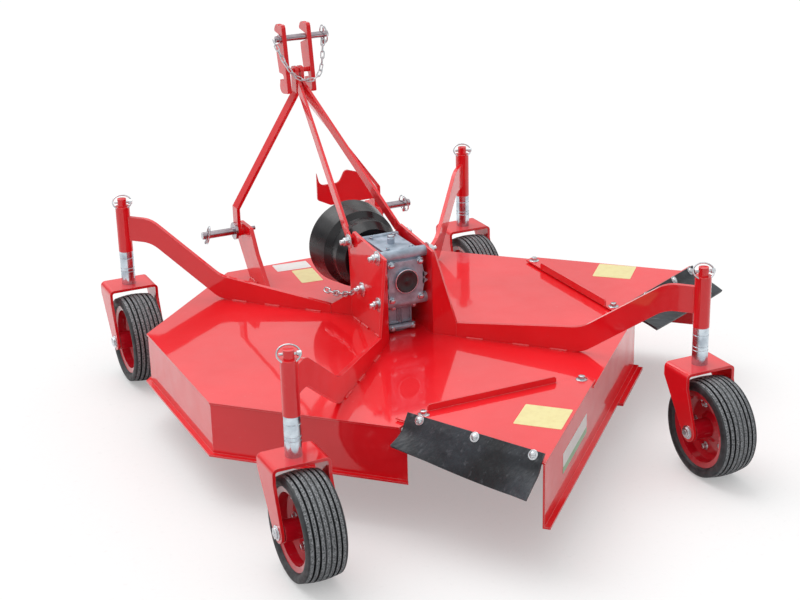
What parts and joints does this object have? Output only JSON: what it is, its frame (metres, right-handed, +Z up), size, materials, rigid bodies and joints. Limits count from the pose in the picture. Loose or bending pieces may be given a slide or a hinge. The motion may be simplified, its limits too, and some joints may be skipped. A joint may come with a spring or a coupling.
{
  "type": "finishing mower",
  "caption": "Rear-mounted rotary finishing mower: eight-sided deck with side chutes and rubber flaps, caster wheels on raised arms, gearbox and three-point hitch frame.",
  "frame": {"origin": "centre of the machine footprint on the ground", "axes": "+X to the right of the machine, +Y forwards to the tractor, +Z up"},
  "size_m": [1.636, 1.7021, 1],
  "materials": {
    "red_paint": "gloss",
    "rim_paint": "gloss",
    "tyre": "matte",
    "zinc": "satin",
    "pin_steel": "satin",
    "gearbox_alloy": "satin",
    "guard_plastic": "gloss",
    "shaft_steel": "satin",
    "flap_rubber": "matte",
    "blade_steel": "satin"
  },
  "bodies": {
    "frame": {"deck_top": "red_paint", "skirt": "red_paint", "chute_wall_rear": "red_paint", "chute_cover_rear": "red_paint", "flap_rear": "flap_rubber", "chute_wall_right": "red_paint", "chute_cover_right": "red_paint", "flap_right": "flap_rubber", "skid_rear": "red_paint", "gearbox_plate_left": "red_paint", "gearbox_plate_right": "red_paint", "a_leg_left": "red_paint", "a_leg_right": "red_paint", "upright_left": "red_paint", "upright_right": "red_paint", "lower_pin_left": "pin_steel", "lower_pin_right": "pin_steel", "brace_left": "red_paint", "brace_right": "red_paint", "gearbox": "gearbox_alloy", "shaft_guard": "guard_plastic", "top_link_bracket": "red_paint", "top_link_pin": "pin_steel", "drive_rest": "red_paint", "arm_fl": "red_paint", "arm_fr": "red_paint", "arm_rl": "red_paint", "arm_rr": "red_paint"},
    "caster_fl": {"fork_fl": "red_paint", "spacers_fl": "zinc", "axle_fl": "zinc"},
    "wheel_fl": {"rim_fl": "rim_paint", "tyre_fl": "tyre"},
    "caster_fr": {"fork_fr": "red_paint", "spacers_fr": "zinc", "axle_fr": "zinc"},
    "wheel_fr": {"rim_fr": "rim_paint", "tyre_fr": "tyre"},
    "caster_rl": {"fork_rl": "red_paint", "spacers_rl": "zinc", "axle_rl": "zinc"},
    "wheel_rl": {"rim_rl": "rim_paint", "tyre_rl": "tyre"},
    "caster_rr": {"fork_rr": "red_paint", "spacers_rr": "zinc", "axle_rr": "zinc"},
    "wheel_rr": {"rim_rr": "rim_paint", "tyre_rr": "tyre"},
    "rotor": {"blade_carrier": "blade_steel", "blade_front": "blade_steel", "blade_rear": "blade_steel"},
    "input_drive": {"input_shaft": "shaft_steel"}
  },
  "joints": [
    {"name": "caster_fl_swivel", "type": "hinge", "parent": "frame", "child": "caster_fl", "pos_m": [-0.73502, 0.78407, 0.383], "axis": [0, 0, 1], "continuous": true},
    {"name": "wheel_fl_spin", "type": "hinge", "parent": "caster_fl", "child": "wheel_fl", "pos_m": [-0.73502, 0.72107, 0.13], "axis": [1, 0, 0], "continuous": true},
    {"name": "caster_fr_swivel", "type": "hinge", "parent": "frame", "child": "caster_fr", "pos_m": [0.38498, 0.78407, 0.383], "axis": [0, 0, 1], "continuous": true},
    {"name": "wheel_fr_spin", "type": "hinge", "parent": "caster_fr", "child": "wheel_fr", "pos_m": [0.38498, 0.72107, 0.13], "axis": [1, 0, 0], "continuous": true},
    {"name": "caster_rl_swivel", "type": "hinge", "parent": "frame", "child": "caster_rl", "pos_m": [-0.73502, -0.52393, 0.383], "axis": [0, 0, 1], "continuous": true},
    {"name": "wheel_rl_spin", "type": "hinge", "parent": "caster_rl", "child": "wheel_rl", "pos_m": [-0.73502, -0.58693, 0.13], "axis": [1, 0, 0], "continuous": true},
    {"name": "caster_rr_swivel", "type": "hinge", "parent": "frame", "child": "caster_rr", "pos_m": [0.38498, -0.52393, 0.383], "axis": [0, 0, 1], "continuous": true},
    {"name": "wheel_rr_spin", "type": "hinge", "parent": "caster_rr", "child": "wheel_rr", "pos_m": [0.38498, -0.58693, 0.13], "axis": [1, 0, 0], "continuous": true},
    {"name": "rotor_spin", "type": "hinge", "parent": "frame", "child": "rotor", "pos_m": [-0.17502, 0.13007, 0.168], "axis": [0, 0, 1], "continuous": true},
    {"name": "input_shaft_spin", "type": "hinge", "parent": "frame", "child": "input_drive", "pos_m": [-0.17502, 0.34507, 0.426], "axis": [0, 1, 0], "continuous": true}
  ],
  "couplings": [
    {"joint": "input_shaft_spin", "follows": "rotor_spin", "ratio": -0.52}
  ]
}
